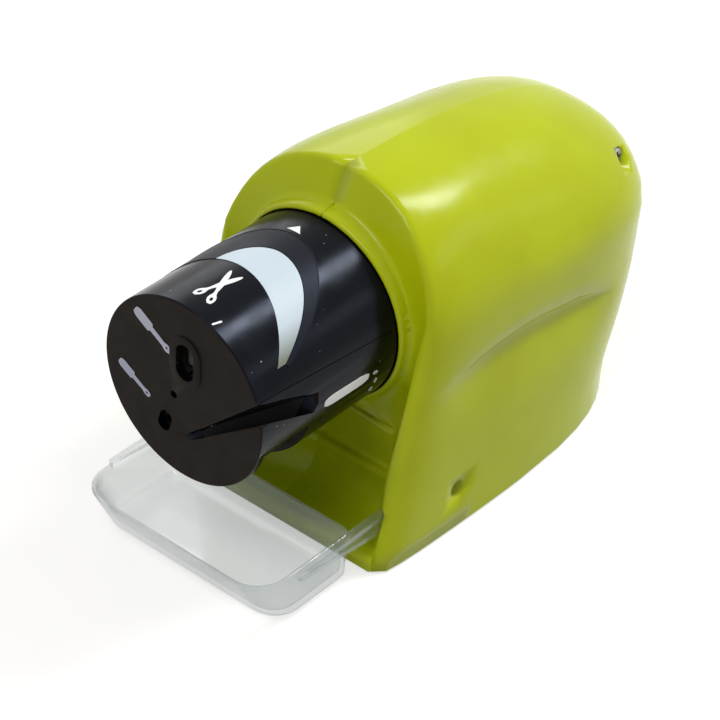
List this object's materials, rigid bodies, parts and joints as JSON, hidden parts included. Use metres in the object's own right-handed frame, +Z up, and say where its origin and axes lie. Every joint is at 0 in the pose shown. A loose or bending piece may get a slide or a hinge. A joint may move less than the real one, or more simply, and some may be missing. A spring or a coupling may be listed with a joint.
{
  "type": "electric knife sharpener",
  "caption": "Cordless electric sharpener: a drum head with slotted guides turns in the collar of a rounded housing, over a driven grinding wheel and a clear filings tray.",
  "frame": {"origin": "on the rest plane, in the plane of symmetry, under the collar plane where the drum head leaves the housing", "axes": "+X to the right seen from the front, +Y from the head towards the back of the housing, +Z up"},
  "size_m": [0.0882, 0.1823, 0.1073],
  "materials": {
    "lime_abs": "gloss moulded",
    "lime_abs_base": "fine moulded",
    "black_abs": "gloss moulded",
    "dark_grey_print": "matte",
    "white_print": "matte",
    "clear_tray": "clear moulded",
    "dark_nylon": "moulded",
    "natural_acetal": "moulded",
    "red_rocker": "gloss moulded",
    "steel": "satin",
    "zinc_steel": "zinc plated",
    "nickel": "nickel plated",
    "brass": "turned",
    "magnet": "ground",
    "copper_armature": "varnished",
    "abrasive": "bonded grain",
    "rubber": "matte",
    "cell_wrap": "gloss",
    "lead_red": "soft",
    "lead_black": "soft"
  },
  "bodies": {
    "housing": {"housing_right": "lime_abs", "housing_left": "lime_abs", "base_plate": "lime_abs_base", "rubber_feet": "rubber", "housing_screws": "zinc_steel", "base_screws": "zinc_steel", "battery_box": "dark_nylon", "cell_front_low": "cell_wrap", "cell_front_high": "cell_wrap", "cell_rear_low": "cell_wrap", "cell_rear_high": "cell_wrap", "contact_springs": "nickel", "contact_plates": "nickel", "motor_can": "zinc_steel", "motor_magnets": "magnet", "motor_end_cap": "dark_nylon", "motor_terminals": "brass", "motor_bracket": "steel", "motor_screws": "zinc_steel", "neck_bearing": "natural_acetal", "friction_washer": "steel", "switch_body": "dark_nylon", "switch_terminals": "brass", "lead_positive": "lead_red", "lead_negative": "lead_black", "lead_motor": "lead_red"},
    "head": {"head_barrel": "black_abs", "head_neck": "black_abs", "neck_retainer": "dark_nylon", "retainer_screws": "zinc_steel", "head_screws": "zinc_steel", "spindle_bush": "brass", "knife_guide": "dark_nylon", "driver_guide": "dark_nylon", "band_inlay": "dark_grey_print", "print_marks": "white_print"},
    "drive": {"motor_rotor": "copper_armature", "shaft_coupling": "brass", "spindle": "steel", "wheel_hub": "steel", "grinding_wheel": "abrasive", "hub_nut": "zinc_steel"},
    "door": {"battery_door": "lime_abs_base"},
    "rocker": {"switch_rocker": "red_rocker"},
    "tray": {"tray": "clear_tray"}
  },
  "joints": [
    {"name": "head_turn", "type": "hinge", "parent": "housing", "child": "head", "pos_m": [0, 0, 0.0654], "axis": [0, 1, 0], "range_deg": [-90, 0]},
    {"name": "spindle_spin", "type": "hinge", "parent": "housing", "child": "drive", "pos_m": [0, 0, 0.0654], "axis": [0, 1, 0], "continuous": true},
    {"name": "tray_slide", "type": "slide", "parent": "housing", "child": "tray", "axis": [0, -1, 0], "range_m": [0, 0.018]},
    {"name": "door_slide", "type": "slide", "parent": "housing", "child": "door", "axis": [0, 1, 0], "range_m": [0, 0.008]},
    {"name": "rocker_tilt", "type": "hinge", "parent": "housing", "child": "rocker", "pos_m": [-0.0402, 0.058, 0.019], "axis": [0, 0, 1], "range_deg": [0, 20]}
  ]
}
